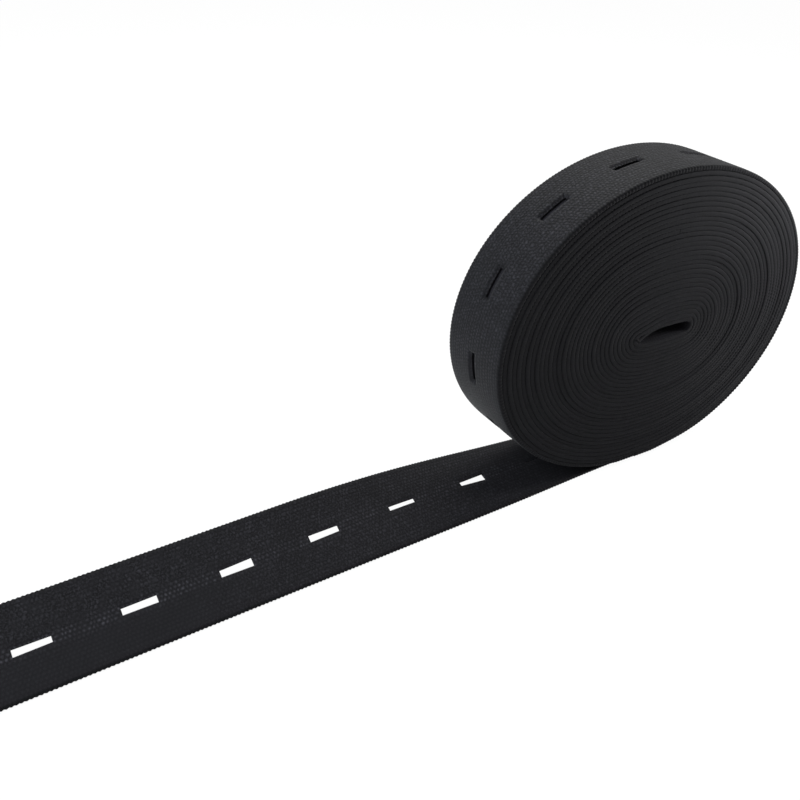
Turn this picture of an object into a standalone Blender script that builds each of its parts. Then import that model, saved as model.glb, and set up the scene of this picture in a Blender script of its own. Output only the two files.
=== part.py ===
"""A reel of flat buttonhole elastic: one narrow knitted strip, wound on itself with no core.

The roll stands on edge on a small flat spot, with its faces towards -Y and +Y. Its loose end leaves
from under the roll and runs out to -X, twisting so that its far edge lifts. The origin is on the
surface, below the middle of the roll. Metres, +Z up.
"""

import math

import bmesh
import bpy
import numpy as np

# The strip
STRIP_WIDTH = 0.020
STRIP_THICKNESS = 0.0011
SLOT_PITCH = 0.02205
SLOT_LENGTH = 0.0078
SLOT_WIDTH = 0.0019
SLOT_PHASE = -0.0025  # where the slot under the roll lies, along the strip from the origin
SLOT_DEPTH = 0.0009  # how far a slot sinks into the wound roll

# The wound roll: ovals that grow from a stadium shape round the eye to a plain ellipse outside
TURNS = 32.75
OUTER_HALF_LENGTH = 0.0503
OUTER_HALF_HEIGHT = 0.0410
INNER_HALF_LENGTH = 0.00935
INNER_HALF_HEIGHT = 0.00225
INNER_STRAIGHT = 0.00735  # the part of the inner half length that is straight
STRAIGHT_SHARPNESS = 2.5
INNER_MIDDLE_X = 0.00255
INNER_MIDDLE_Z = 0.0385
SINK = 0.0003  # the roll's weight flattens it by this much where it rests
STEP_X = -0.0100  # where the outer turn comes down over the loose end
EYE_HALF_LENGTH = 0.00885
EYE_HALF_HEIGHT = 0.0017
EYE_STRAIGHT = 0.0070

# Grooves on both faces, each a gap between two turns
GROOVE_WIDTH = 0.0005
GROOVE_DEPTH = 0.0008
INNER_GROOVES = (0.22, 0.47, 0.74)  # share of the way from the outside to the eye

# The loose end
TAIL_START = 0.0104  # the gap that parts it from the roll's step lies between
TAIL_LENGTH = 0.216
TAIL_TILT = 0.504  # radians, the far edge raised
TAIL_TILT_RISE = 0.0977
TAIL_RELAX_START = 0.172  # from here on the tilt eases off, and the cut end lies flat
TAIL_SHIFT = 0.0015  # how far the strip is set back where it leaves the roll
TAIL_SHIFT_REACH = 0.030
TAIL_BEND = 0.362  # sideways towards -Y, per metre, with the square of the distance
TAIL_BEND_BACK = 0.95  # back towards +Y, per square metre, with its cube

# Mesh steps
LENGTH_STEP = 0.0038
LAP_SAMPLES = 2000


def mix(start, end, share):
    return start + (end - start) * share


def smooth_step(value):
    value = min(max(value, 0.0), 1.0)
    return value * value * (3.0 - 2.0 * value)


def oval_point(angle, half_length, half_height, straight, middle_x, middle_z):
    """A point on an oval: a stadium when straight is large, an ellipse when it is zero."""
    flat = math.tanh(STRAIGHT_SHARPNESS * math.cos(angle)) / math.tanh(STRAIGHT_SHARPNESS)
    x = middle_x + straight * flat + (half_length - straight) * math.cos(angle)
    z = middle_z + half_height * math.sin(angle)
    return x, z


def wound_point(angle, depth):
    """A point on the oval that lies depth (0 outside, 1 at the innermost turn) of the way in."""
    return oval_point(
        angle,
        mix(OUTER_HALF_LENGTH, INNER_HALF_LENGTH, depth),
        mix(OUTER_HALF_HEIGHT, INNER_HALF_HEIGHT, depth),
        INNER_STRAIGHT * depth,
        INNER_MIDDLE_X * depth,
        mix(OUTER_HALF_HEIGHT - SINK, INNER_MIDDLE_Z, depth),
    )


def lap_point(turn):
    """The outermost lap's surface at a turn angle, counted from the origin up the +X side."""
    depth = max(turn, 0.0) / (2.0 * math.pi * TURNS)
    x, z = wound_point(turn - math.pi / 2.0, depth)
    return x, max(z, 0.0)


def slot_middles(first, last):
    """Places of the slots along the strip, from the origin, that lie wholly between two places."""
    half = SLOT_LENGTH / 2.0
    lowest = math.ceil((first + half - SLOT_PHASE) / SLOT_PITCH)
    highest = math.floor((last - half - SLOT_PHASE) / SLOT_PITCH)
    return [SLOT_PHASE + index * SLOT_PITCH for index in range(lowest, highest + 1)]


def spread_stations(marks):
    """The marks, with evenly spaced stations added wherever two marks are far apart."""
    stations = [marks[0]]
    for start, end in zip(marks, marks[1:]):
        count = max(1, math.ceil((end - start) / LENGTH_STEP))
        stations += [mix(start, end, step / count) for step in range(1, count + 1)]
    return stations


def in_slot(place, middles):
    return any(abs(place - middle) < SLOT_LENGTH / 2.0 for middle in middles)


def with_slot_ends(first, last, middles):
    """Marks for the stations: the two ends and both ends of every slot between them."""
    marks = [first]
    for middle in middles:
        marks += [middle - SLOT_LENGTH / 2.0, middle + SLOT_LENGTH / 2.0]
    return marks + [last]


def new_object(name, mesh_source, material):
    mesh = bpy.data.meshes.new(name)
    mesh_source.to_mesh(mesh)
    mesh_source.free()
    mesh.materials.append(material)
    mesh.shade_smooth()
    mesh.set_sharp_from_angle(angle=math.radians(35.0))
    made = bpy.data.objects.new(name, mesh)
    bpy.context.scene.collection.objects.link(made)
    return made


def elastic_material(name, color, roughness):
    material = bpy.data.materials.new(name)
    material.use_nodes = True
    shader = material.node_tree.nodes["Principled BSDF"]
    shader.inputs["Base Color"].default_value = (*color, 1.0)
    shader.inputs["Roughness"].default_value = roughness
    shader.inputs["Metallic"].default_value = 0.0
    return material


def lap_stations():
    """Turn angles of the outer lap's stations, and for each gap after one whether a slot is there."""
    turns = np.linspace(0.0, 2.0 * math.pi, LAP_SAMPLES)
    points = np.array([lap_point(turn) for turn in turns])
    lengths = np.concatenate([[0.0], np.cumsum(np.hypot(*np.diff(points, axis=0).T))])

    flat_turn = math.acos(1.0 - SINK / OUTER_HALF_HEIGHT)
    flat_end = float(np.interp(flat_turn, turns, lengths))
    coming_down = turns > 1.5 * math.pi
    last_turn = float(np.interp(STEP_X, points[coming_down, 0], turns[coming_down]))
    last_length = float(np.interp(last_turn, turns, lengths))

    middles = slot_middles(flat_end, last_length)
    places = spread_stations(with_slot_ends(flat_end, last_length, middles))
    heel_turn = math.asin(STEP_X / OUTER_HALF_LENGTH)
    heel = [mix(heel_turn, flat_turn, step / 4.0) for step in range(4)]
    stations = heel + [float(np.interp(place, lengths, turns)) for place in places]
    halfway = [(start + end) / 2.0 for start, end in zip(places, places[1:])]
    slotted = [False] * len(heel) + [in_slot(place, middles) for place in halfway] + [False]
    return stations, slotted


def offset_inward(points, distance):
    """The outline moved inward; its ends are square to their own neighbours, not joined up."""
    along = np.gradient(points, axis=0)
    along /= np.linalg.norm(along, axis=1)[:, None]
    return points + distance * np.stack([-along[:, 1], along[:, 0]], axis=1)


def face_rings(stations):
    """Rings of one face from its rim to the eye, as pairs of an outline and a depth below the face."""
    outline = np.array([lap_point(turn) for turn in stations])
    outline[:, 1] = np.where(np.array(stations) < 0.0, 0.0, outline[:, 1])
    spacing = stations[-1] - stations[-2]
    squeeze = (2.0 * math.pi - spacing) / (stations[-1] - stations[0])
    angles = [stations[0] + (turn - stations[0]) * squeeze - math.pi / 2.0 for turn in stations]

    def ring(depth):
        return np.array([wound_point(angle, depth) for angle in angles])

    inner_edge = STRIP_THICKNESS + GROOVE_WIDTH
    rings = [
        (outline, 0.0),
        (offset_inward(outline, STRIP_THICKNESS), 0.0),
        (offset_inward(outline, STRIP_THICKNESS + GROOVE_WIDTH / 2.0), GROOVE_DEPTH),
        (offset_inward(outline, inner_edge), 0.0),
    ]
    half_share = GROOVE_WIDTH / 2.0 / (OUTER_HALF_HEIGHT - INNER_HALF_HEIGHT)
    for depth in INNER_GROOVES:
        rings.append((ring(depth - half_share), 0.0))
        rings.append((ring(depth), GROOVE_DEPTH))
        rings.append((ring(depth + half_share), 0.0))
    eye = [
        oval_point(angle, EYE_HALF_LENGTH, EYE_HALF_HEIGHT, EYE_STRAIGHT, INNER_MIDDLE_X, INNER_MIDDLE_Z)
        for angle in angles
    ]
    rings.append((np.array(eye), 0.0))
    return rings


def build_roll():
    """The wound form: a closed band of rings, over one face, through the eye and back over the other."""
    stations, slotted = lap_stations()
    rings = face_rings(stations)
    near = -STRIP_WIDTH / 2.0
    loops = [(outline, near + depth) for outline, depth in rings]
    loops += [(outline, -near - depth) for outline, depth in reversed(rings)]
    loops += [(rings[0][0], SLOT_WIDTH / 2.0), (rings[0][0], -SLOT_WIDTH / 2.0)]

    source = bmesh.new()
    grid = [[source.verts.new((x, y, z)) for x, z in outline] for outline, y in loops]
    count = len(stations)
    slot_faces = []
    for row, loop in enumerate(grid):
        following = grid[(row + 1) % len(grid)]
        for column in range(count):
            beside = (column + 1) % count
            face = source.faces.new(
                (loop[column], loop[beside], following[beside], following[column])
            )
            if row == len(grid) - 2 and slotted[column]:
                slot_faces.append(face)
    bmesh.ops.recalc_face_normals(source, faces=source.faces)
    bmesh.ops.inset_region(
        source, faces=slot_faces, thickness=0.00005, depth=-SLOT_DEPTH, use_even_offset=True
    )
    return new_object("roll", source, elastic_material("elastic_roll", (0.028, 0.028, 0.031), 0.85))


def tail_frame(distance):
    """Where the loose end's near edge lies at a distance from the origin, and its tilt."""
    shift = TAIL_SHIFT * math.exp(-((distance / TAIL_SHIFT_REACH) ** 2))
    bend = TAIL_BEND_BACK * distance**3 - TAIL_BEND * distance**2
    relax = smooth_step((distance - TAIL_RELAX_START) / (TAIL_LENGTH - TAIL_RELAX_START))
    tilt = TAIL_TILT * smooth_step(distance / TAIL_TILT_RISE) * (1.0 - relax)
    return -STRIP_WIDTH / 2.0 + shift + bend, tilt


def tail_point(distance, across):
    """A point on the loose end's underside, which nowhere dips below the surface."""
    near_edge, tilt = tail_frame(distance)
    return -distance, near_edge + across * math.cos(tilt), across * math.sin(tilt)


def build_tail():
    """The loose end: a sheet with its slots left open, thickened upwards from its underside."""
    middles = [-place for place in reversed(slot_middles(-TAIL_LENGTH, -TAIL_START))]
    stations = spread_stations(with_slot_ends(TAIL_START, TAIL_LENGTH, middles))
    middle = STRIP_WIDTH / 2.0
    slot_half = SLOT_WIDTH / 2.0
    near_rows = [0.0, middle / 2.0, middle - slot_half]
    rows = near_rows + [STRIP_WIDTH - row for row in reversed(near_rows)]

    source = bmesh.new()
    grid = [[source.verts.new(tail_point(place, row)) for row in rows] for place in stations]
    for index, (first, second) in enumerate(zip(grid, grid[1:])):
        slot_here = in_slot((stations[index] + stations[index + 1]) / 2.0, middles)
        for row in range(len(rows) - 1):
            if slot_here and row == len(near_rows) - 1:
                continue
            source.faces.new((first[row], first[row + 1], second[row + 1], second[row]))
    for face in source.faces:
        face.normal_update()
        if face.normal.z < 0.0:
            face.normal_flip()
    made = new_object("tail", source, elastic_material("elastic_tail", (0.034, 0.034, 0.040), 0.80))
    thicken = made.modifiers.new("thickness", "SOLIDIFY")
    thicken.thickness = STRIP_THICKNESS
    thicken.offset = 1.0
    thicken.use_even_offset = True
    return made


def main():
    for old in list(bpy.data.objects):
        bpy.data.objects.remove(old, do_unlink=True)
    build_roll()
    build_tail()


main()
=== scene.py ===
"""The looks of a reel of buttonhole elastic: one knitted strip, wound on itself, with its slotted end loose.

Every point of the strip has three coordinates. `along` is the length from where the roll touches the
surface, negative on the loose end and positive into the roll. `across` is 0 on the strip's middle line and
grows to the far selvedge. `inward` is 0 on the side that faces out of the roll, and under the loose end.
Turns are counted from the outside in. Metres, +Z up.
"""

import math

import bpy
import numpy as np
from mathutils import Matrix, Vector


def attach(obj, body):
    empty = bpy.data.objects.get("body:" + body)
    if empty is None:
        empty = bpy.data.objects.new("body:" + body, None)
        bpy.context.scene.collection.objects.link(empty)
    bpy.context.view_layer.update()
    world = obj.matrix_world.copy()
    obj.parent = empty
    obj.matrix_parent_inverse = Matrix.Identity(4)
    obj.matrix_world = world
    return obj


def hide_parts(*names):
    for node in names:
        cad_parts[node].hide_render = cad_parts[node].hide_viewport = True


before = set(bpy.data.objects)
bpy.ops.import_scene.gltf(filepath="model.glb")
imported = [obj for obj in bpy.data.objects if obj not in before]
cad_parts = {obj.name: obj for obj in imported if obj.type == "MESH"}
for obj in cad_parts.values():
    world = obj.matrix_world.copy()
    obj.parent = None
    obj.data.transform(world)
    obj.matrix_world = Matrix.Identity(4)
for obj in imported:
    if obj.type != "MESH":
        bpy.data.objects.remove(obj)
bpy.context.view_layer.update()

MM = 0.001
TINY = 1e-9

# The strip, and the path that it is wound on: the same sizes as the solids
STRIP_WIDTH = 20.0 * MM
STRIP_THICKNESS = 1.1 * MM
SLOT_PITCH = 22.05 * MM
SLOT_LENGTH = 7.8 * MM
SLOT_PHASE = -2.5 * MM
TURNS = 32.75
OUTER_HALF_LENGTH = 50.3 * MM
OUTER_HALF_HEIGHT = 41.0 * MM
INNER_HALF_LENGTH = 9.35 * MM
INNER_HALF_HEIGHT = 2.25 * MM
INNER_STRAIGHT = 7.35 * MM
STRAIGHT_SHARPNESS = 2.5
INNER_MIDDLE_X = 2.55 * MM
INNER_MIDDLE_Z = 38.5 * MM
SINK = 0.3 * MM  # how deep the flat spot is that the roll stands on
TAIL_LENGTH = 216.0 * MM
TAIL_TILT = 0.504  # the far edge of the loose end lifts by this angle
TAIL_TILT_RISE = 97.7 * MM  # over this distance from the roll's foot
TAIL_RELAX_START = 172.0 * MM  # and from here it comes down again, to the cut end
TAIL_SHIFT = 1.5 * MM  # the strip is set back sideways at the roll's foot
TAIL_SHIFT_REACH = 30.0 * MM
TAIL_BEND = 0.362  # sideways, with the distance squared
TAIL_BEND_BACK = 0.95  # and back, with the distance cubed

# How the wound strip settles
PATH_SAMPLES = 24000
CORE_START_TURN = 12.5  # the innermost turns are a piece of their own, from here
LIFT_FADE = 8.0 * MM  # the turns above the flat spot are lifted, less the higher they lie
ROLL_SHIFT_REACH = 16.0 * MM  # the sideways set-back fades over this much of the roll
SLOPE_STEP = 0.1 * MM  # the path's direction is taken over this much either side
FREE_END_TURNS = 0.25  # in the eye, the inner end sags within the last quarter turn,
FREE_END_START_X = 3.0 * MM  # from here
FREE_END_X = -6.5 * MM  # to here
FREE_END_SAMPLES = 200
FREE_END_SAG = 2.8 * MM
FREE_END_POWER = 2.4
SWELL_SHARE = 0.99  # of the space between turns
EYE_PULL = 1.9 * MM  # the turns above the inner end sag with it, on the side of the loose end
EYE_PULL_START = 0.70  # as a share of the way in
EYE_PULL_X = 3.0 * MM
EYE_PULL_REACH = 11.0 * MM
WANDER = ((0.10 * MM, 1.37, 0.7), (0.07 * MM, 0.523, 2.1), (0.05 * MM, 0.211, 4.0))  # size, length, phase
WANDER_RISE = 96.0 * MM  # it grows from nothing over this much of the roll

# The knit: staggered rows of stitches
STITCH = 0.95 * MM
STITCH_HEIGHT = 0.045 * MM
RIB_HEIGHT = 0.030 * MM
ALTERNATE_HEIGHT = 0.012 * MM
SLACK_REACH = 20.0 * MM  # within this of the roll's foot, the strip goes from slack to stretched
EVEN_START = -130.0 * MM  # the loose end's near half has the painted glitter too, from here towards the roll
EVEN_END = -105.0 * MM
CLOSING_START = -45.0 * MM  # towards the roll, the knit of the loose end lies ever closer
CLOSING_END = -15.0 * MM
OPENING_END = 10.0 * MM  # round the roll it is stretched open, and its stitches stand up
FLAT_START = 175.0 * MM  # on the roll's side above the loose end they lie flatter again
FLAT_END = 225.0 * MM
KNIT_PLACES = (CLOSING_START, CLOSING_END, OPENING_END, FLAT_START, FLAT_END)
KNIT_SHARES = (0.35, 0.12, 1.0, 1.0, 0.45)  # of the stitches' full height, at these places
STRAY = 0.32 * MM  # each stitch sits up to this far off its place
STRAY_GRID = 1.2 * MM
STRAY_SEED = 5
SHARP_ANGLE = math.radians(70.0)

# The edges of the strip
SELVEDGE_TOOTH = 0.09 * MM  # small waves, one for each stitch
SELVEDGE_SWELL = 0.25 * MM  # the loops of the edge stand out past the strip's stated width
SELVEDGE_INSET = 0.5 * MM  # where the flat sides end and the rounded selvedge begins
EDGE_THINNING = 0.08 * MM  # on the outer side only
EDGE_THINNING_REACH = 0.9 * MM
COARSE_ROWS = (10.0, 6.0, 3.0, 1.0)  # stitches from the middle line, on a side that no one sees
# The rounded selvedge, from the outer side to the inner one: mm from the edge, share of the thickness
SELVEDGE = ((0.16, 0.08), (0.04, 0.25), (0.0, 0.5), (0.03, 0.78), (0.09, 0.93))
# The same inside the outermost turn, where the turns press each other flatter
WOUND_SELVEDGE = (
    (0.22, 0.0), (0.06, 0.06), (0.025, 0.17), (0.0, 0.5), (0.025, 0.83), (0.06, 0.94), (0.22, 1.0),
)

# The slots
SLOT_EDGE = STITCH  # they open between the rows one stitch either side of the middle
SLOT_LIP = 0.55 * MM  # their edges are rounded over by this much on the roll
SLACK_LIP = 0.18 * MM  # and by this much on the loose end
SLOT_LIP_REACH = 0.45 * MM
SLOT_RELAX = 1.5 * MM  # past a slot's end, the rows go back to their places over this much
SLOT_PULL_REACH = 1.2 * MM  # and beside it, over about this much
BAR_HALF_WIDTH = 0.95 * MM  # of the strip between two slots
TAIL_SLOT_WIDTHS = {  # counted from the roll: mm at the end nearer the roll and at the other
    1: (0.15, 0.15),
    2: (2.35, 1.4),
    3: (1.3, 1.3),
    4: (1.6, 1.8),
    5: (2.1, 1.75),
    6: (1.8, 1.65),
    7: (1.5, 1.75),
}
USUAL_SLOT_WIDTH = 1.3 * MM  # of all the others, more or less
SLOT_WIDTH_SWING = 0.15 * MM
SLOT_SWING_RATE = 2.4
SLOT_DRIFT_NEAR = 0.5 * MM  # how far the slots' line strays from the strip's middle, on the roll
SLOT_DRIFT_FAR = -0.4 * MM  # and near the cut end
SLOT_DRIFT_START = 45.0 * MM
SLOT_DRIFT_REACH = 85.0 * MM
DRIFT_FULL = 2.0 * STITCH  # the rows this near the middle follow the slots' line
DRIFT_FADE = 5.0 * STITCH

# The yarn's colours, and tones between them: 0 is the first and 1 the second
YARN_DARK = (0.0019, 0.0018, 0.0026, 1.0)
YARN_LIGHT = (0.0310, 0.0305, 0.0370, 1.0)
SIDE_TONE = 0.14
SELVEDGE_SHADE_TONE = 0.02  # painted shade: the selvedges, which form the roll's upright sides, are darker
SELVEDGE_GLITTER = 0.3  # of the painted glitter on the sides
CROWN_HIGHLIGHT_TONE = 0.05  # painted highlight on the crowns of the stitches, with painted shade between them
# Painted highlights: the glitter of stitches and fibres that catch the light, put into the colour
STITCH_HIGHLIGHT_TONE = 0.48  # for a stitch that catches the light
FIBRE_HIGHLIGHT_TONE = 0.50  # and for a fibre that does
GLITTER_OFFSET = -0.16  # and for every stitch, so that most stay dark
SLOT_LIGHT_TONE = 0.4  # painted light: what shows through the outermost turn's slots is lightened against their shade
EVEN_GLITTER = 0.65  # of the full painted glitter, where both halves of the loose end have it
PATCH_SHADES = (0.8, 1.2)  # the wide, faint patches of the colour
YARN_ROUGHNESS = 0.85
CROWN_ROUGHNESS = 0.62
BUMP_STRENGTH = 0.7
BUMP_HEIGHT = 0.06 * MM

# The knit's pattern in the material, on a map that counts stitches
STITCH_WAVE = 0.5  # a crown rises with its stitch by this
RIB_WAVE = 0.3  # and with its row by this
FIBRE_SCALE = 2.6
CLUSTER_SCALE = 0.30
PATCH_SCALE = 0.11
CLUSTER_RANGE = (0.35, 0.6)  # of the clusters' noise, from a bare place to a full one
FIBRE_HIGHLIGHT_RANGE = (0.48, 0.72)  # of the fibres' noise, from a dark fibre to one with a full painted highlight
FAR_HALF_START = (-4.0, 3.0)  # stitches across, where the far half's painted glitter sets in
SELVEDGE_START = (9.7, 10.3)  # stitches from the middle line, as are the two below
BELOW_EDGE = (2.0, 3.0)
GLINT_HALF_WIDTH = 1.6  # the three rows between the slots, which get the painted glint

# The stage
FLOOR_HALF_SIZE = 3.0
FLOOR_DROP = 0.02 * MM
FLOOR_COLOR = (0.9, 0.9, 0.9, 1.0)
FLOOR_GLOW = 0.1
FLOOR_WHITE = 1.02
SHADOW_SHARE = 0.07
WORLD_STRENGTH = 0.4
WHITE = (1.0, 1.0, 1.0, 1.0)
CAMERA_PLACE = (-168.09, -159.84, 148.22)  # mm
CAMERA_TARGET = (-68.90, 0.0, 33.28)  # mm
CAMERA_ROLL = 0.0361
SENSOR_WIDTH = 36.0
LENS = 43.31
# Softboxes: name, place, target, side, power and colour
SOFTBOXES = (
    ("key", (0.16, 0.22, 0.42), (0.02, 0.0, 0.06), 0.30, 1.9, (1.0, 1.0, 0.97)),
    ("back", (-0.10, 0.35, 0.35), (0.0, 0.0, 0.04), 0.30, 0.45, (0.95, 0.98, 1.0)),
    ("left", (-0.5, 0.3, 0.3), (-0.03, 0.0, 0.05), 0.35, 1.1, (0.80, 0.93, 1.0)),
    ("front", (-0.45, -0.06, 0.35), (-0.05, 0.0, 0.0), 0.30, 2.1, (0.92, 0.97, 1.0)),
    ("side", (0.085, -0.04, 0.075), (0.045, -0.01, 0.05), 0.03, 0.09, (0.97, 0.97, 1.0)),
)


def mix(start, end, share):
    return start + (end - start) * share


def smooth_step(value):
    value = np.clip(value, 0.0, 1.0)
    return value * value * (3.0 - 2.0 * value)


# ---- Path of the strip ----


def wound_point(angle, depth):
    """A point on the oval that lies depth (0 outside, 1 at the innermost turn) of the way in."""
    half_length = mix(OUTER_HALF_LENGTH, INNER_HALF_LENGTH, depth)
    half_height = mix(OUTER_HALF_HEIGHT, INNER_HALF_HEIGHT, depth)
    straight = INNER_STRAIGHT * depth
    flat = np.tanh(STRAIGHT_SHARPNESS * np.cos(angle)) / math.tanh(STRAIGHT_SHARPNESS)
    x = INNER_MIDDLE_X * depth + straight * flat + (half_length - straight) * np.cos(angle)
    z = mix(OUTER_HALF_HEIGHT - SINK, INNER_MIDDLE_Z, depth) + half_height * np.sin(angle)
    pull = EYE_PULL * smooth_step((depth - EYE_PULL_START) / (1.0 - EYE_PULL_START))
    pull = pull * smooth_step((EYE_PULL_X - x) / EYE_PULL_REACH) * np.clip(np.sin(angle), 0.0, 1.0)
    return x, z - pull


def lifted(x, z):
    """The turns near the flat spot, raised so that none passes through the surface or another turn."""
    inside = np.clip(1.0 - (x / OUTER_HALF_LENGTH) ** 2, 0.0, 1.0)
    under = OUTER_HALF_HEIGHT - SINK - OUTER_HALF_HEIGHT * np.sqrt(inside)
    lift = np.clip(-under, 0.0, None)
    return z + lift * np.exp(-np.clip(z, 0.0, None) / LIFT_FADE)


def wound_path():
    """The roll's path as x, z and length, sampled closely, with the inner end sagging in the eye."""
    turned = np.linspace(0.0, 2.0 * math.pi * TURNS, PATH_SAMPLES + 1)
    x, z = wound_point(turned - math.pi / 2.0, turned / (2.0 * math.pi * TURNS))
    z = lifted(x, z)
    at_the_end = turned > 2.0 * math.pi * (TURNS - FREE_END_TURNS)
    keep = ~(at_the_end & (x < FREE_END_START_X))
    x, z = x[keep], z[keep]
    share = np.linspace(0.0, 1.0, FREE_END_SAMPLES)[1:]
    end_x = mix(x[-1], FREE_END_X, share)
    slope = (z[-1] - z[-5]) / (x[-1] - x[-5])
    end_z = z[-1] + slope * (end_x - x[-1]) * (1.0 - share) - FREE_END_SAG * share**FREE_END_POWER
    x, z = np.concatenate([x, end_x]), np.concatenate([z, end_z])
    length = np.concatenate([[0.0], np.cumsum(np.hypot(np.diff(x), np.diff(z)))])
    return x, z, length


PATH_X, PATH_Z, PATH_LENGTH = wound_path()
PATH_INDEX = np.arange(len(PATH_LENGTH))
ROLL_LENGTH = float(PATH_LENGTH[-1])
SAMPLES_A_TURN = PATH_SAMPLES / TURNS


def length_at(turn):
    """The length of the path up to a turn."""
    return float(np.interp(turn * SAMPLES_A_TURN, PATH_INDEX, PATH_LENGTH))


def turn_spacing():
    """How far each point of the path lies from the next turn inside it, square to the path."""
    place = np.clip(PATH_INDEX + SAMPLES_A_TURN, 0.0, len(PATH_INDEX) - 1.0)
    inner_x = np.interp(place, PATH_INDEX, PATH_X)
    inner_z = np.interp(place, PATH_INDEX, PATH_Z)
    along_x, along_z = np.gradient(PATH_X), np.gradient(PATH_Z)
    spacing = (along_x * (inner_z - PATH_Z) - along_z * (inner_x - PATH_X)) / np.hypot(along_x, along_z)
    last_turn_start = len(PATH_INDEX) - int(SAMPLES_A_TURN) - 2
    spacing[last_turn_start:] = STRIP_THICKNESS
    return spacing


LAP_LENGTH = length_at(1.0)
TURN_SPACING = turn_spacing()


def swollen_thickness(along):
    """In the roll, the strip swells until it nearly fills the space between turns."""
    spacing = np.interp(along, PATH_LENGTH, TURN_SPACING)
    return np.where(along > 0.0, np.clip(spacing * SWELL_SHARE, STRIP_THICKNESS, None), STRIP_THICKNESS)


def wander(along):
    """How far the strip strays sideways as it is wound."""
    waves = sum(size * np.sin(2.0 * math.pi * along / length + phase) for size, length, phase in WANDER)
    return waves * smooth_step(along / WANDER_RISE)


def roll_points(along, across, inward):
    """Points of the strip where it is wound."""
    x = np.interp(along, PATH_LENGTH, PATH_X)
    z = np.interp(along, PATH_LENGTH, PATH_Z)
    ahead = np.clip(along + SLOPE_STEP, 0.0, ROLL_LENGTH)
    behind = np.clip(along - SLOPE_STEP, 0.0, ROLL_LENGTH)
    along_x = np.interp(ahead, PATH_LENGTH, PATH_X) - np.interp(behind, PATH_LENGTH, PATH_X)
    along_z = np.interp(ahead, PATH_LENGTH, PATH_Z) - np.interp(behind, PATH_LENGTH, PATH_Z)
    size = np.hypot(along_x, along_z)
    shift = TAIL_SHIFT * np.exp(-((along / ROLL_SHIFT_REACH) ** 2))
    y = across + shift + wander(along)
    return np.stack([x - along_z / size * inward, y, z + along_x / size * inward], axis=-1)


def tail_points(along, across, inward):
    """Points of the strip where it lies loose; its near edge stays on the surface."""
    distance = -along
    shift = TAIL_SHIFT * np.exp(-((distance / TAIL_SHIFT_REACH) ** 2))
    bend = TAIL_BEND_BACK * distance**3 - TAIL_BEND * distance**2
    relax = smooth_step((distance - TAIL_RELAX_START) / (TAIL_LENGTH - TAIL_RELAX_START))
    tilt = TAIL_TILT * smooth_step(distance / TAIL_TILT_RISE) * (1.0 - relax)
    from_near = across + STRIP_WIDTH / 2.0
    y = -STRIP_WIDTH / 2.0 + shift + bend + from_near * np.cos(tilt) - inward * np.sin(tilt)
    z = from_near * np.sin(tilt) + inward * np.cos(tilt)
    return np.stack([-distance, y, z], axis=-1)


# ---- Slots ----


def slot_numbers(first, last):
    """Numbers of the slots that lie wholly between two places; they are negative on the loose end."""
    half = SLOT_LENGTH / 2.0
    lowest = math.ceil((first + half - SLOT_PHASE) / SLOT_PITCH)
    highest = math.floor((last - half - SLOT_PHASE) / SLOT_PITCH)
    return list(range(lowest, highest + 1))


def slot_middle(number):
    return SLOT_PHASE + number * SLOT_PITCH


def slot_widths(number):
    """A slot's width at its end with the higher place along the strip, and at the other."""
    if -number in TAIL_SLOT_WIDTHS:
        near_end, far_end = TAIL_SLOT_WIDTHS[-number]
        return near_end * MM, far_end * MM
    usual = USUAL_SLOT_WIDTH + SLOT_WIDTH_SWING * math.sin(SLOT_SWING_RATE * number)
    return usual, usual


def slot_half_width(along, numbers):
    """Half the slot's width at each place, and between slots the half width of the bar."""
    half = np.full(along.shape, BAR_HALF_WIDTH)
    for number in numbers:
        middle = slot_middle(number)
        near_end, far_end = slot_widths(number)
        share = np.clip((middle - along) / SLOT_LENGTH + 0.5, 0.0, 1.0)
        beyond = smooth_step((np.abs(along - middle) - SLOT_LENGTH / 2.0) / SLOT_RELAX)
        here = np.abs(along - middle) < SLOT_LENGTH / 2.0 + SLOT_RELAX
        half = np.where(here, mix(mix(near_end, far_end, share) / 2.0, BAR_HALF_WIDTH, beyond), half)
    return half


def slot_drift(along):
    """How far the slots' line strays from the strip's middle."""
    return mix(SLOT_DRIFT_NEAR, SLOT_DRIFT_FAR, smooth_step((-along - SLOT_DRIFT_START) / SLOT_DRIFT_REACH))


def pulled_by_slots(along, across, numbers):
    """The rows of stitches, pushed aside where they pass a slot."""
    half = slot_half_width(along, numbers)
    outside = np.abs(across) - SLOT_EDGE
    pushed = (half - SLOT_EDGE) * np.exp(-((outside / SLOT_PULL_REACH) ** 2))
    beside = np.sign(across) * (np.abs(across) + pushed)
    between = across * half / SLOT_EDGE
    moved = np.where(outside < -TINY, between, beside)
    edge_share = 1.0 - smooth_step((np.abs(across) - DRIFT_FULL) / DRIFT_FADE)
    return moved + slot_drift(along) * edge_share


def slot_gaps(stations, numbers):
    """For each gap between two stations, whether it lies in a slot."""
    halfway = (stations[:-1] + stations[1:]) / 2.0
    middles = np.array([slot_middle(number) for number in numbers])
    return (np.abs(halfway[:, None] - middles[None, :]) < SLOT_LENGTH / 2.0).any(axis=1)


# ---- The knitted surface ----


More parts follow.
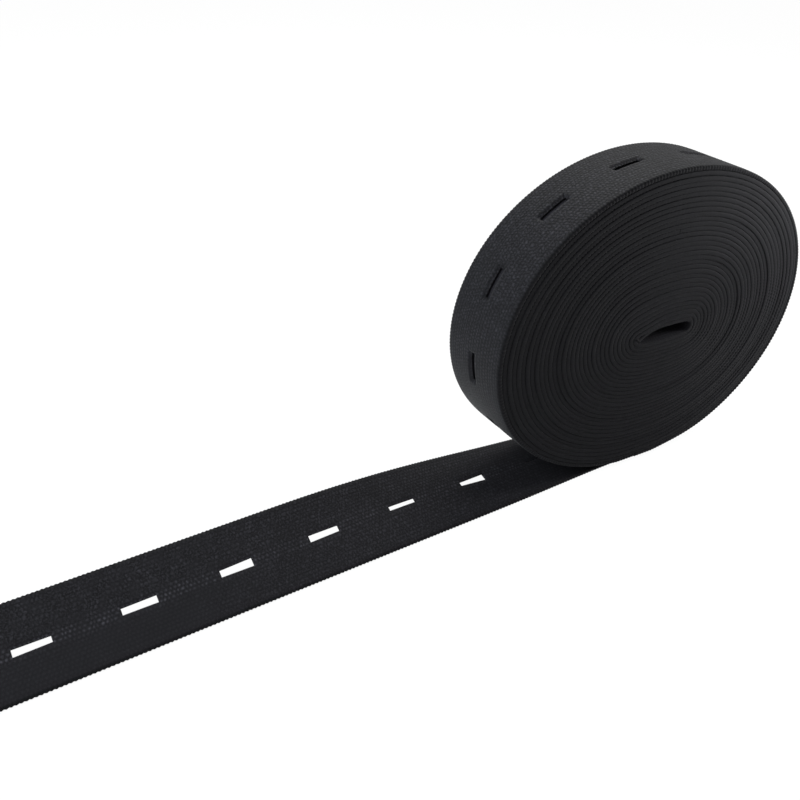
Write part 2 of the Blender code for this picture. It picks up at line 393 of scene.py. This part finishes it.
def stray(along, across):
    """How far along the strip each stitch is off its even place: smooth noise, the same on each run."""
    rows = int((TAIL_LENGTH + LAP_LENGTH) / STRAY_GRID) + 2
    columns = int(STRIP_WIDTH / STRAY_GRID) + 2
    table = np.random.default_rng(STRAY_SEED).uniform(-STRAY, STRAY, (rows, columns))
    row = np.clip((along + TAIL_LENGTH) / STRAY_GRID, 0.0, rows - 1.001)
    column = np.clip((across + STRIP_WIDTH / 2.0) / STRAY_GRID, 0.0, columns - 1.001)
    row_start, column_start = row.astype(int), column.astype(int)
    row_share, column_share = smooth_step(row - row_start), smooth_step(column - column_start)
    start = mix(table[row_start, column_start], table[row_start + 1, column_start], row_share)
    end = mix(table[row_start, column_start + 1], table[row_start + 1, column_start + 1], row_share)
    return mix(start, end, column_share)


def relief(along, across):
    """How far the knit lies below the strip's even surface: on average zero, well round from the floor."""
    row = math.pi * across / STITCH
    stitch_place = (along + stray(along, across)) / STITCH
    stitch = STITCH_HEIGHT * np.cos(2.0 * math.pi * stitch_place) * np.cos(row)
    rib = RIB_HEIGHT * np.cos(2.0 * row)
    alternate = ALTERNATE_HEIGHT * np.cos(row)
    highest = STITCH_HEIGHT + RIB_HEIGHT + ALTERNATE_HEIGHT
    low = highest - stitch - rib - alternate - highest * smooth_step(along / SLACK_REACH - 1.0)
    return low * np.interp(along, KNIT_PLACES, KNIT_SHARES)


def selvedge_loops(along):
    """How far the rounded selvedge stands out past the strip's stated width."""
    return SELVEDGE_SWELL + SELVEDGE_TOOTH * np.cos(2.0 * math.pi * along / STITCH)


def edge_depth(across):
    """The strip thins towards its selvedges."""
    from_edge = STRIP_WIDTH / 2.0 - np.abs(across)
    return EDGE_THINNING * np.exp(-((from_edge / EDGE_THINNING_REACH) ** 2))


def lip_depth(along, across, numbers):
    """The slots' edges are rounded over."""
    lip = np.zeros(along.shape)
    for number in numbers:
        past_end = np.clip(np.abs(along - slot_middle(number)) - SLOT_LENGTH / 2.0, 0.0, None)
        past_side = np.clip(np.abs(across) - SLOT_EDGE, 0.0, None)
        gap = np.hypot(past_end, past_side)
        lip = np.maximum(lip, np.exp(-((gap / SLOT_LIP_REACH) ** 2)))
    return lip * mix(SLACK_LIP, SLOT_LIP, smooth_step(along / SLACK_REACH + 0.5))


# ---- Meshes ----


def snapped(first, last, step):
    """Stations a whole number of steps from the origin, with both ends added."""
    inner = np.arange(math.ceil(first / step + 0.25), math.floor(last / step - 0.25) + 1) * step
    return np.concatenate([[first], inner, [last]])


def side_rows(step):
    """Row places across a flat side, from the near selvedge to the far one."""
    count = int((STRIP_WIDTH / 2.0 - SELVEDGE_INSET) / step + TINY)
    return [index * step for index in range(-count, count + 1)]


def coarse_rows():
    """Few rows, for a side that no one sees; the slots' edges are among them."""
    places = [place * STITCH for place in COARSE_ROWS]
    return [-place for place in places] + places[::-1]


def profile(outer_rows, inner_rows):
    """The strip's cross-section as a closed loop: across, share of thickness, and 1 on a flat side."""
    loop = [(row, 0.0, 1.0) for row in outer_rows]
    loop += [(STRIP_WIDTH / 2.0 - inset * MM, share, 0.0) for inset, share in SELVEDGE]
    loop += [(row, 1.0, 1.0) for row in reversed(inner_rows)]
    loop += [(-STRIP_WIDTH / 2.0 + inset * MM, share, 0.0) for inset, share in reversed(SELVEDGE)]
    return np.array(loop)


def strip_grid(stations, loop):
    """Where each point of a mesh lies along and across the strip: a loop of points at each station."""
    along = np.repeat(stations[:, None], len(loop), axis=1)
    across = np.repeat(loop[None, :, 0], len(stations), axis=0)
    return along, across


def strip_faces(stations, loop, numbers):
    """The faces of a closed length of strip, with its slots left open between their walls."""
    row_count = len(loop)
    by_slot = np.abs(loop[:, 0]) < SLOT_EDGE + TINY
    slot_outer = np.flatnonzero(by_slot & (loop[:, 1] == 0.0)).tolist()
    slot_inner = np.flatnonzero(by_slot & (loop[:, 1] == 1.0)).tolist()
    left_open = set(slot_outer[:-1] + slot_inner[:-1])
    open_here = slot_gaps(stations, numbers).tolist()

    def face(station, corners):
        """A face from its corners, each a step to the next station (0 or 1) and a row."""
        return tuple((station + step) * row_count + row % row_count for step, row in corners)

    faces = []
    for station, is_open in enumerate(open_here):
        for row in range(row_count):
            if not (is_open and row in left_open):
                faces.append(face(station, ((0, row), (0, row + 1), (1, row + 1), (1, row))))
        if is_open:
            for first, second in ((slot_outer[0], slot_inner[-1]), (slot_inner[0], slot_outer[-1])):
                faces.append(face(station, ((0, first), (1, first), (1, second), (0, second))))
    for station in range(1, len(open_here)):
        if open_here[station - 1] != open_here[station]:
            slot_end = face(station, [(0, row) for row in slot_outer + slot_inner])
            faces.append(slot_end if open_here[station] else slot_end[::-1])
    cut_end = [(0, row) for row in range(row_count)]
    faces.append(face(0, cut_end)[::-1])
    faces.append(face(len(open_here), cut_end))
    return faces


def built(name, points, faces, along, across):
    """An object of its own, with a map named strip that counts stitches along the strip and across it."""
    mesh = bpy.data.meshes.new(name)
    mesh.from_pydata(points.reshape(-1, 3).tolist(), [], faces)
    layer = mesh.uv_layers.new(name="strip")
    corners = np.zeros(len(mesh.loops), np.int64)
    mesh.loops.foreach_get("vertex_index", corners)
    stitches = np.stack([along / STITCH, across / STITCH], axis=-1).reshape(-1, 2)
    layer.data.foreach_set("uv", stitches[corners].astype(np.float32).ravel())
    mesh.shade_smooth()
    made = bpy.data.objects.new(name, mesh)
    bpy.context.scene.collection.objects.link(made)
    return made


def slotted_piece(name, stations, outer_rows, inner_rows, numbers, place):
    """A length of strip with its knit and its slots, which place() puts in the loose end or the roll."""
    loop = profile(outer_rows, inner_rows)
    along, across = strip_grid(stations, loop)
    share = loop[None, :, 1]
    on_side = loop[None, :, 2]
    depth = relief(along, across) + lip_depth(along, across, numbers)
    depth = depth * on_side + edge_depth(across) * np.clip(1.0 - 2.0 * share, 0.0, 1.0)
    inward = share * swollen_thickness(along) + np.where(share < 0.5, depth, -depth)
    loops = selvedge_loops(along) * (1.0 - on_side)
    moved = pulled_by_slots(along, across, numbers) + np.sign(across) * loops
    faces = strip_faces(stations, loop, numbers)
    made = built(name, place(along, moved, inward), faces, along + stray(along, across), across)
    made.data.set_sharp_from_angle(angle=SHARP_ANGLE)
    return made


def wound_piece(name, first_place, last_place):
    """A length of the strip inside the roll: only its selvedges show, so its sides are plain."""
    stations = snapped(first_place, last_place, STITCH / 2.0)
    near = [(-STRIP_WIDTH / 2.0 + inset * MM, share) for inset, share in reversed(WOUND_SELVEDGE)]
    far = [(STRIP_WIDTH / 2.0 - inset * MM, share) for inset, share in WOUND_SELVEDGE]
    loop = np.array(near + far)
    along, across = strip_grid(stations, loop)
    moved = across + np.sign(across) * selvedge_loops(along)
    points = roll_points(along, moved, loop[None, :, 1] * swollen_thickness(along))
    return built(name, points, strip_faces(stations, loop, []), along, across)


# ---- Material ----


class NodeWriter:
    """Writes the nodes of a material; the methods that combine values return the result's socket."""

    def __init__(self, material):
        self.nodes = material.node_tree.nodes
        self.links = material.node_tree.links

    def put(self, kind, **settings):
        node = self.nodes.new(kind)
        for key, value in settings.items():
            setattr(node, key, value)
        return node

    def calculate(self, operation, first, second=None):
        node = self.put("ShaderNodeMath", operation=operation)
        for socket, value in zip(node.inputs, (first, second)):
            if isinstance(value, (int, float)):
                socket.default_value = value
            elif value is not None:
                self.links.new(value, socket)
        return node.outputs[0]

    def product(self, first, *others):
        for other in others:
            first = self.calculate("MULTIPLY", first, other)
        return first

    def total(self, first, *others):
        for other in others:
            first = self.calculate("ADD", first, other)
        return first

    def spread(self, value, from_range, to_range):
        """The value, taken from one range to another and held within it."""
        node = self.put("ShaderNodeMapRange")
        node.inputs["From Min"].default_value, node.inputs["From Max"].default_value = from_range
        node.inputs["To Min"].default_value, node.inputs["To Max"].default_value = to_range
        self.links.new(value, node.inputs["Value"])
        return node.outputs["Result"]

    def noise(self, vector, scale, detail):
        node = self.put("ShaderNodeTexNoise", noise_dimensions="2D")
        node.inputs["Scale"].default_value = scale
        node.inputs["Detail"].default_value = detail
        self.links.new(vector, node.inputs["Vector"])
        return node.outputs["Fac"]


def stitches_from(first, last):
    """Two places along the strip, in stitches."""
    return first / STITCH, last / STITCH


def stitch_crowns(writer, along, across):
    """How near each point is to the crown of its stitch, from 0 to 1."""
    stitch_wave = writer.calculate("COSINE", writer.product(along, 2.0 * math.pi))
    row_wave = writer.calculate("COSINE", writer.product(across, math.pi))
    rib_wave = writer.calculate("COSINE", writer.product(across, 2.0 * math.pi))
    stitches = writer.product(stitch_wave, row_wave, STITCH_WAVE)
    waves = writer.total(stitches, writer.product(rib_wave, RIB_WAVE))
    highest = STITCH_WAVE + RIB_WAVE
    return writer.product(writer.total(waves, highest), 0.5 / highest)


def stitch_chances(writer, along, across):
    """A number of its own for each stitch, from 0 to 1, by the two diagonals that it lies on."""
    half_across = writer.product(across, 0.5)
    diagonals = writer.put("ShaderNodeCombineXYZ")
    rising = writer.calculate("ROUND", writer.total(along, half_across))
    falling = writer.calculate("ROUND", writer.calculate("SUBTRACT", along, half_across))
    writer.links.new(rising, diagonals.inputs["X"])
    writer.links.new(falling, diagonals.inputs["Y"])
    chance = writer.put("ShaderNodeTexWhiteNoise", noise_dimensions="2D")
    writer.links.new(diagonals.outputs["Vector"], chance.inputs["Vector"])
    return chance.outputs["Value"]


def knit_tone(writer, uv, along, across, crown, chance, fibres, opening):
    """The knit's tone, with painted highlights, glints and slot light, and painted shade."""
    clusters = writer.noise(uv, CLUSTER_SCALE, 1.0)
    from_middle = writer.calculate("ABSOLUTE", across)

    # Painted glitter, highlights on the stitches and fibres: the loose end has it on its far half;
    # nearer the roll, on both halves; beside the roll, hardly at all. Stretched round the roll, it is all
    # over.
    by_cluster = writer.spread(clusters, CLUSTER_RANGE, (0.45, 1.1))
    far_half = writer.product(writer.spread(across, FAR_HALF_START, (0.12, 0.75)), by_cluster)
    even = writer.spread(along, stitches_from(EVEN_START, EVEN_END), (0.0, EVEN_GLITTER))
    closing = writer.spread(along, stitches_from(CLOSING_START, CLOSING_END), (1.0, 0.2))
    slack_glitter_share = writer.product(writer.calculate("MAXIMUM", far_half, even), closing)
    glitter_share = writer.calculate("MAXIMUM", slack_glitter_share, opening)
    on_crown = writer.spread(crown, (0.2, 1.0), (0.0, 1.0))
    stitch_highlight = writer.product(writer.calculate("POWER", chance, 2.0), on_crown, STITCH_HIGHLIGHT_TONE)
    fibre_highlight = writer.product(writer.spread(fibres, FIBRE_HIGHLIGHT_RANGE, (0.0, 1.0)), FIBRE_HIGHLIGHT_TONE)
    selvedge = writer.spread(from_middle, SELVEDGE_START, (0.0, 1.0))
    by_edge = writer.spread(selvedge, (0.0, 1.0), (1.0, SELVEDGE_GLITTER))
    painted_glitter = writer.product(writer.total(stitch_highlight, fibre_highlight, GLITTER_OFFSET), glitter_share, by_edge)

    # Painted glints: where no slot opens, the rows between the slots are pulled tight and get bright spots
    # on their crowns
    band = writer.calculate("POWER", writer.product(from_middle, 1.0 / GLINT_HALF_WIDTH), 4.0)
    band = writer.calculate("POWER", math.e, writer.product(band, -1.0))
    slack = writer.spread(along, stitches_from(-SLACK_REACH, SLACK_REACH), (1.0, 0.0))
    less_glint = writer.spread(even, (0.0, EVEN_GLITTER), (1.0, 0.45))
    by_chance = writer.spread(chance, (0.0, 1.0), (0.35, 1.1))
    by_cluster = writer.spread(clusters, CLUSTER_RANGE, (0.5, 1.1))
    painted_glint = writer.product(writer.calculate("POWER", crown, 3.0), band, slack, closing, less_glint)
    painted_glint = writer.product(painted_glint, by_chance, by_cluster)

    # Painted light: the turn seen through the outermost turn's slots is lightened against their shade
    below = writer.spread(along, (LAP_LENGTH / STITCH, LAP_LENGTH / STITCH + 1.0), (0.0, SLOT_LIGHT_TONE))
    below = writer.product(below, writer.spread(from_middle, BELOW_EDGE, (1.0, 0.0)))
    # Painted shade: the selvedges, which form the roll's upright sides, are darker than the flat sides
    plain = writer.spread(selvedge, (0.0, 1.0), (SIDE_TONE, SELVEDGE_SHADE_TONE))
    return writer.total(writer.product(crown, CROWN_HIGHLIGHT_TONE), plain, painted_glitter, painted_glint, below)


def elastic_material():
    """Black knitted elastic: crowns a little lighter, as painted highlight, and smoother than the yarn."""
    material = bpy.data.materials.new("elastic_knit")
    material.use_nodes = True
    writer = NodeWriter(material)
    shader = writer.nodes["Principled BSDF"]
    shader.inputs["Metallic"].default_value = 0.0
    shader.inputs["Specular IOR Level"].default_value = 0.12
    shader.inputs["Sheen Weight"].default_value = 0.02
    shader.inputs["Sheen Roughness"].default_value = 0.45

    uv = writer.put("ShaderNodeUVMap", uv_map="strip").outputs["UV"]
    split = writer.put("ShaderNodeSeparateXYZ")
    writer.links.new(uv, split.inputs[0])
    along, across = split.outputs["X"], split.outputs["Y"]
    crown = stitch_crowns(writer, along, across)
    chance = stitch_chances(writer, along, across)
    fibres = writer.noise(uv, FIBRE_SCALE, 2.0)
    # How far the knit is stretched open: it raises the bump and spreads the painted glitter on the roll
    opening = writer.product(
        writer.spread(along, stitches_from(CLOSING_END, OPENING_END), (0.0, 1.0)),
        writer.spread(along, stitches_from(FLAT_START, FLAT_END), (1.0, 0.4)),
    )

    ramp = writer.put("ShaderNodeValToRGB")
    ramp.color_ramp.elements[0].color = YARN_DARK
    ramp.color_ramp.elements[1].color = YARN_LIGHT
    tone = knit_tone(writer, uv, along, across, crown, chance, fibres, opening)
    writer.links.new(tone, ramp.inputs["Fac"])
    tint = writer.put("ShaderNodeVectorMath", operation="SCALE")
    patches = writer.spread(writer.noise(uv, PATCH_SCALE, 3.0), (0.0, 1.0), PATCH_SHADES)
    writer.links.new(ramp.outputs["Color"], tint.inputs[0])
    writer.links.new(patches, tint.inputs["Scale"])
    writer.links.new(tint.outputs["Vector"], shader.inputs["Base Color"])
    roughness = writer.spread(crown, (0.0, 1.0), (YARN_ROUGHNESS, CROWN_ROUGHNESS))
    writer.links.new(roughness, shader.inputs["Roughness"])

    knit_height = writer.product(crown, writer.spread(opening, (0.0, 1.0), (0.4, 1.0)))
    height = writer.total(knit_height, writer.product(fibres, 0.7), writer.product(chance, 0.25))
    bump = writer.put("ShaderNodeBump")
    bump.inputs["Strength"].default_value = BUMP_STRENGTH
    bump.inputs["Distance"].default_value = BUMP_HEIGHT
    writer.links.new(height, bump.inputs["Height"])
    writer.links.new(bump.outputs["Normal"], shader.inputs["Normal"])
    return material


# ---- Pieces ----


def finish_piece(piece, material, node):
    piece.data.materials.append(material)
    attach(piece, "root")
    if node:
        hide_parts(node)


def build_pieces():
    material = elastic_material()
    station_step = STITCH / 4.0
    tail_rows = side_rows(STITCH / 2.0)
    tail = slotted_piece(
        "elastic_tail", snapped(-TAIL_LENGTH, 0.0, station_step), tail_rows, tail_rows,
        slot_numbers(-TAIL_LENGTH, 0.0), tail_points,
    )
    outer = slotted_piece(
        "elastic_outer_lap", snapped(0.0, LAP_LENGTH, station_step), side_rows(STITCH / 3.0), coarse_rows(),
        slot_numbers(0.0, LAP_LENGTH), roll_points,
    )
    core_start = length_at(CORE_START_TURN)
    wound = wound_piece("elastic_wound", LAP_LENGTH, core_start)
    core = wound_piece("elastic_core", core_start, ROLL_LENGTH)
    finish_piece(tail, material, "tail")
    finish_piece(outer, material, None)
    finish_piece(wound, material, "roll")
    finish_piece(core, material, "roll")


# ---- Stage, camera and light ----


def seen_apart(tree, lit, seen, surface):
    """Joins two shaders to an output: rays from the camera find the second, and all others the first."""
    ray = tree.nodes.new("ShaderNodeLightPath")
    choice = tree.nodes.new("ShaderNodeMixShader")
    tree.links.new(ray.outputs["Is Camera Ray"], choice.inputs["Fac"])
    tree.links.new(lit, choice.inputs[1])
    tree.links.new(seen, choice.inputs[2])
    tree.links.new(choice.outputs["Shader"], surface)


def floor_material():
    """Seen directly, the floor is an even white with only a faint shadow; it lights the part less."""
    material = bpy.data.materials.new("floor_white")
    material.use_nodes = True
    tree = material.node_tree
    lit = tree.nodes["Principled BSDF"]
    lit.inputs["Base Color"].default_value = FLOOR_COLOR
    lit.inputs["Roughness"].default_value = 1.0
    lit.inputs["Specular IOR Level"].default_value = 0.0
    lit.inputs["Emission Color"].default_value = WHITE
    lit.inputs["Emission Strength"].default_value = FLOOR_GLOW
    white = tree.nodes.new("ShaderNodeEmission")
    white.inputs["Strength"].default_value = FLOOR_WHITE
    faint = tree.nodes.new("ShaderNodeMixShader")
    faint.inputs["Fac"].default_value = 1.0 - SHADOW_SHARE
    tree.links.new(lit.outputs["BSDF"], faint.inputs[1])
    tree.links.new(white.outputs["Emission"], faint.inputs[2])
    output = tree.nodes["Material Output"]
    seen_apart(tree, lit.outputs["BSDF"], faint.outputs["Shader"], output.inputs["Surface"])
    return material


def build_floor():
    half = FLOOR_HALF_SIZE
    corners = [(-half, -half, -FLOOR_DROP), (half, -half, -FLOOR_DROP)]
    corners += [(half, half, -FLOOR_DROP), (-half, half, -FLOOR_DROP)]
    mesh = bpy.data.meshes.new("floor")
    mesh.from_pydata(corners, [], [(0, 1, 2, 3)])
    mesh.materials.append(floor_material())
    floor = bpy.data.objects.new("floor", mesh)
    bpy.context.scene.collection.objects.link(floor)


def build_camera():
    place = Vector(CAMERA_PLACE) * MM
    target = Vector(CAMERA_TARGET) * MM
    forward = (target - place).normalized()
    right = forward.cross(Vector((0.0, 0.0, 1.0))).normalized()
    up = right.cross(forward)
    right_rolled = math.cos(CAMERA_ROLL) * right + math.sin(CAMERA_ROLL) * up
    up_rolled = -math.sin(CAMERA_ROLL) * right + math.cos(CAMERA_ROLL) * up
    turned = Matrix((right_rolled, up_rolled, -forward)).transposed()
    data = bpy.data.cameras.new("camera")
    data.sensor_width = SENSOR_WIDTH
    data.lens = LENS
    data.clip_start = 10.0 * MM
    camera = bpy.data.objects.new("camera", data)
    camera.matrix_world = Matrix.Translation(place) @ turned.to_4x4()
    bpy.context.scene.collection.objects.link(camera)
    bpy.context.scene.camera = camera


def add_softbox(name, place, target, side, power, color):
    data = bpy.data.lights.new(name, "AREA")
    data.shape = "SQUARE"
    data.size = side
    data.energy = power
    data.color = color
    light = bpy.data.objects.new(name, data)
    light.location = place
    light.rotation_euler = (Vector(target) - Vector(place)).to_track_quat("-Z", "Y").to_euler()
    light.visible_camera = False
    bpy.context.scene.collection.objects.link(light)


def build_light():
    world = bpy.data.worlds.new("studio")
    world.use_nodes = True
    tree = world.node_tree
    lit = tree.nodes["Background"]
    lit.inputs["Color"].default_value = WHITE
    lit.inputs["Strength"].default_value = WORLD_STRENGTH
    seen = tree.nodes.new("ShaderNodeBackground")
    seen.inputs["Color"].default_value = WHITE
    seen.inputs["Strength"].default_value = 1.0
    output = tree.nodes["World Output"]
    seen_apart(tree, lit.outputs["Background"], seen.outputs["Background"], output.inputs["Surface"])
    bpy.context.scene.world = world
    for softbox in SOFTBOXES:
        add_softbox(*softbox)
    bpy.context.scene.view_settings.view_transform = "Standard"
    bpy.context.scene.view_settings.look = "None"


build_camera()
build_pieces()
build_floor()
build_light()
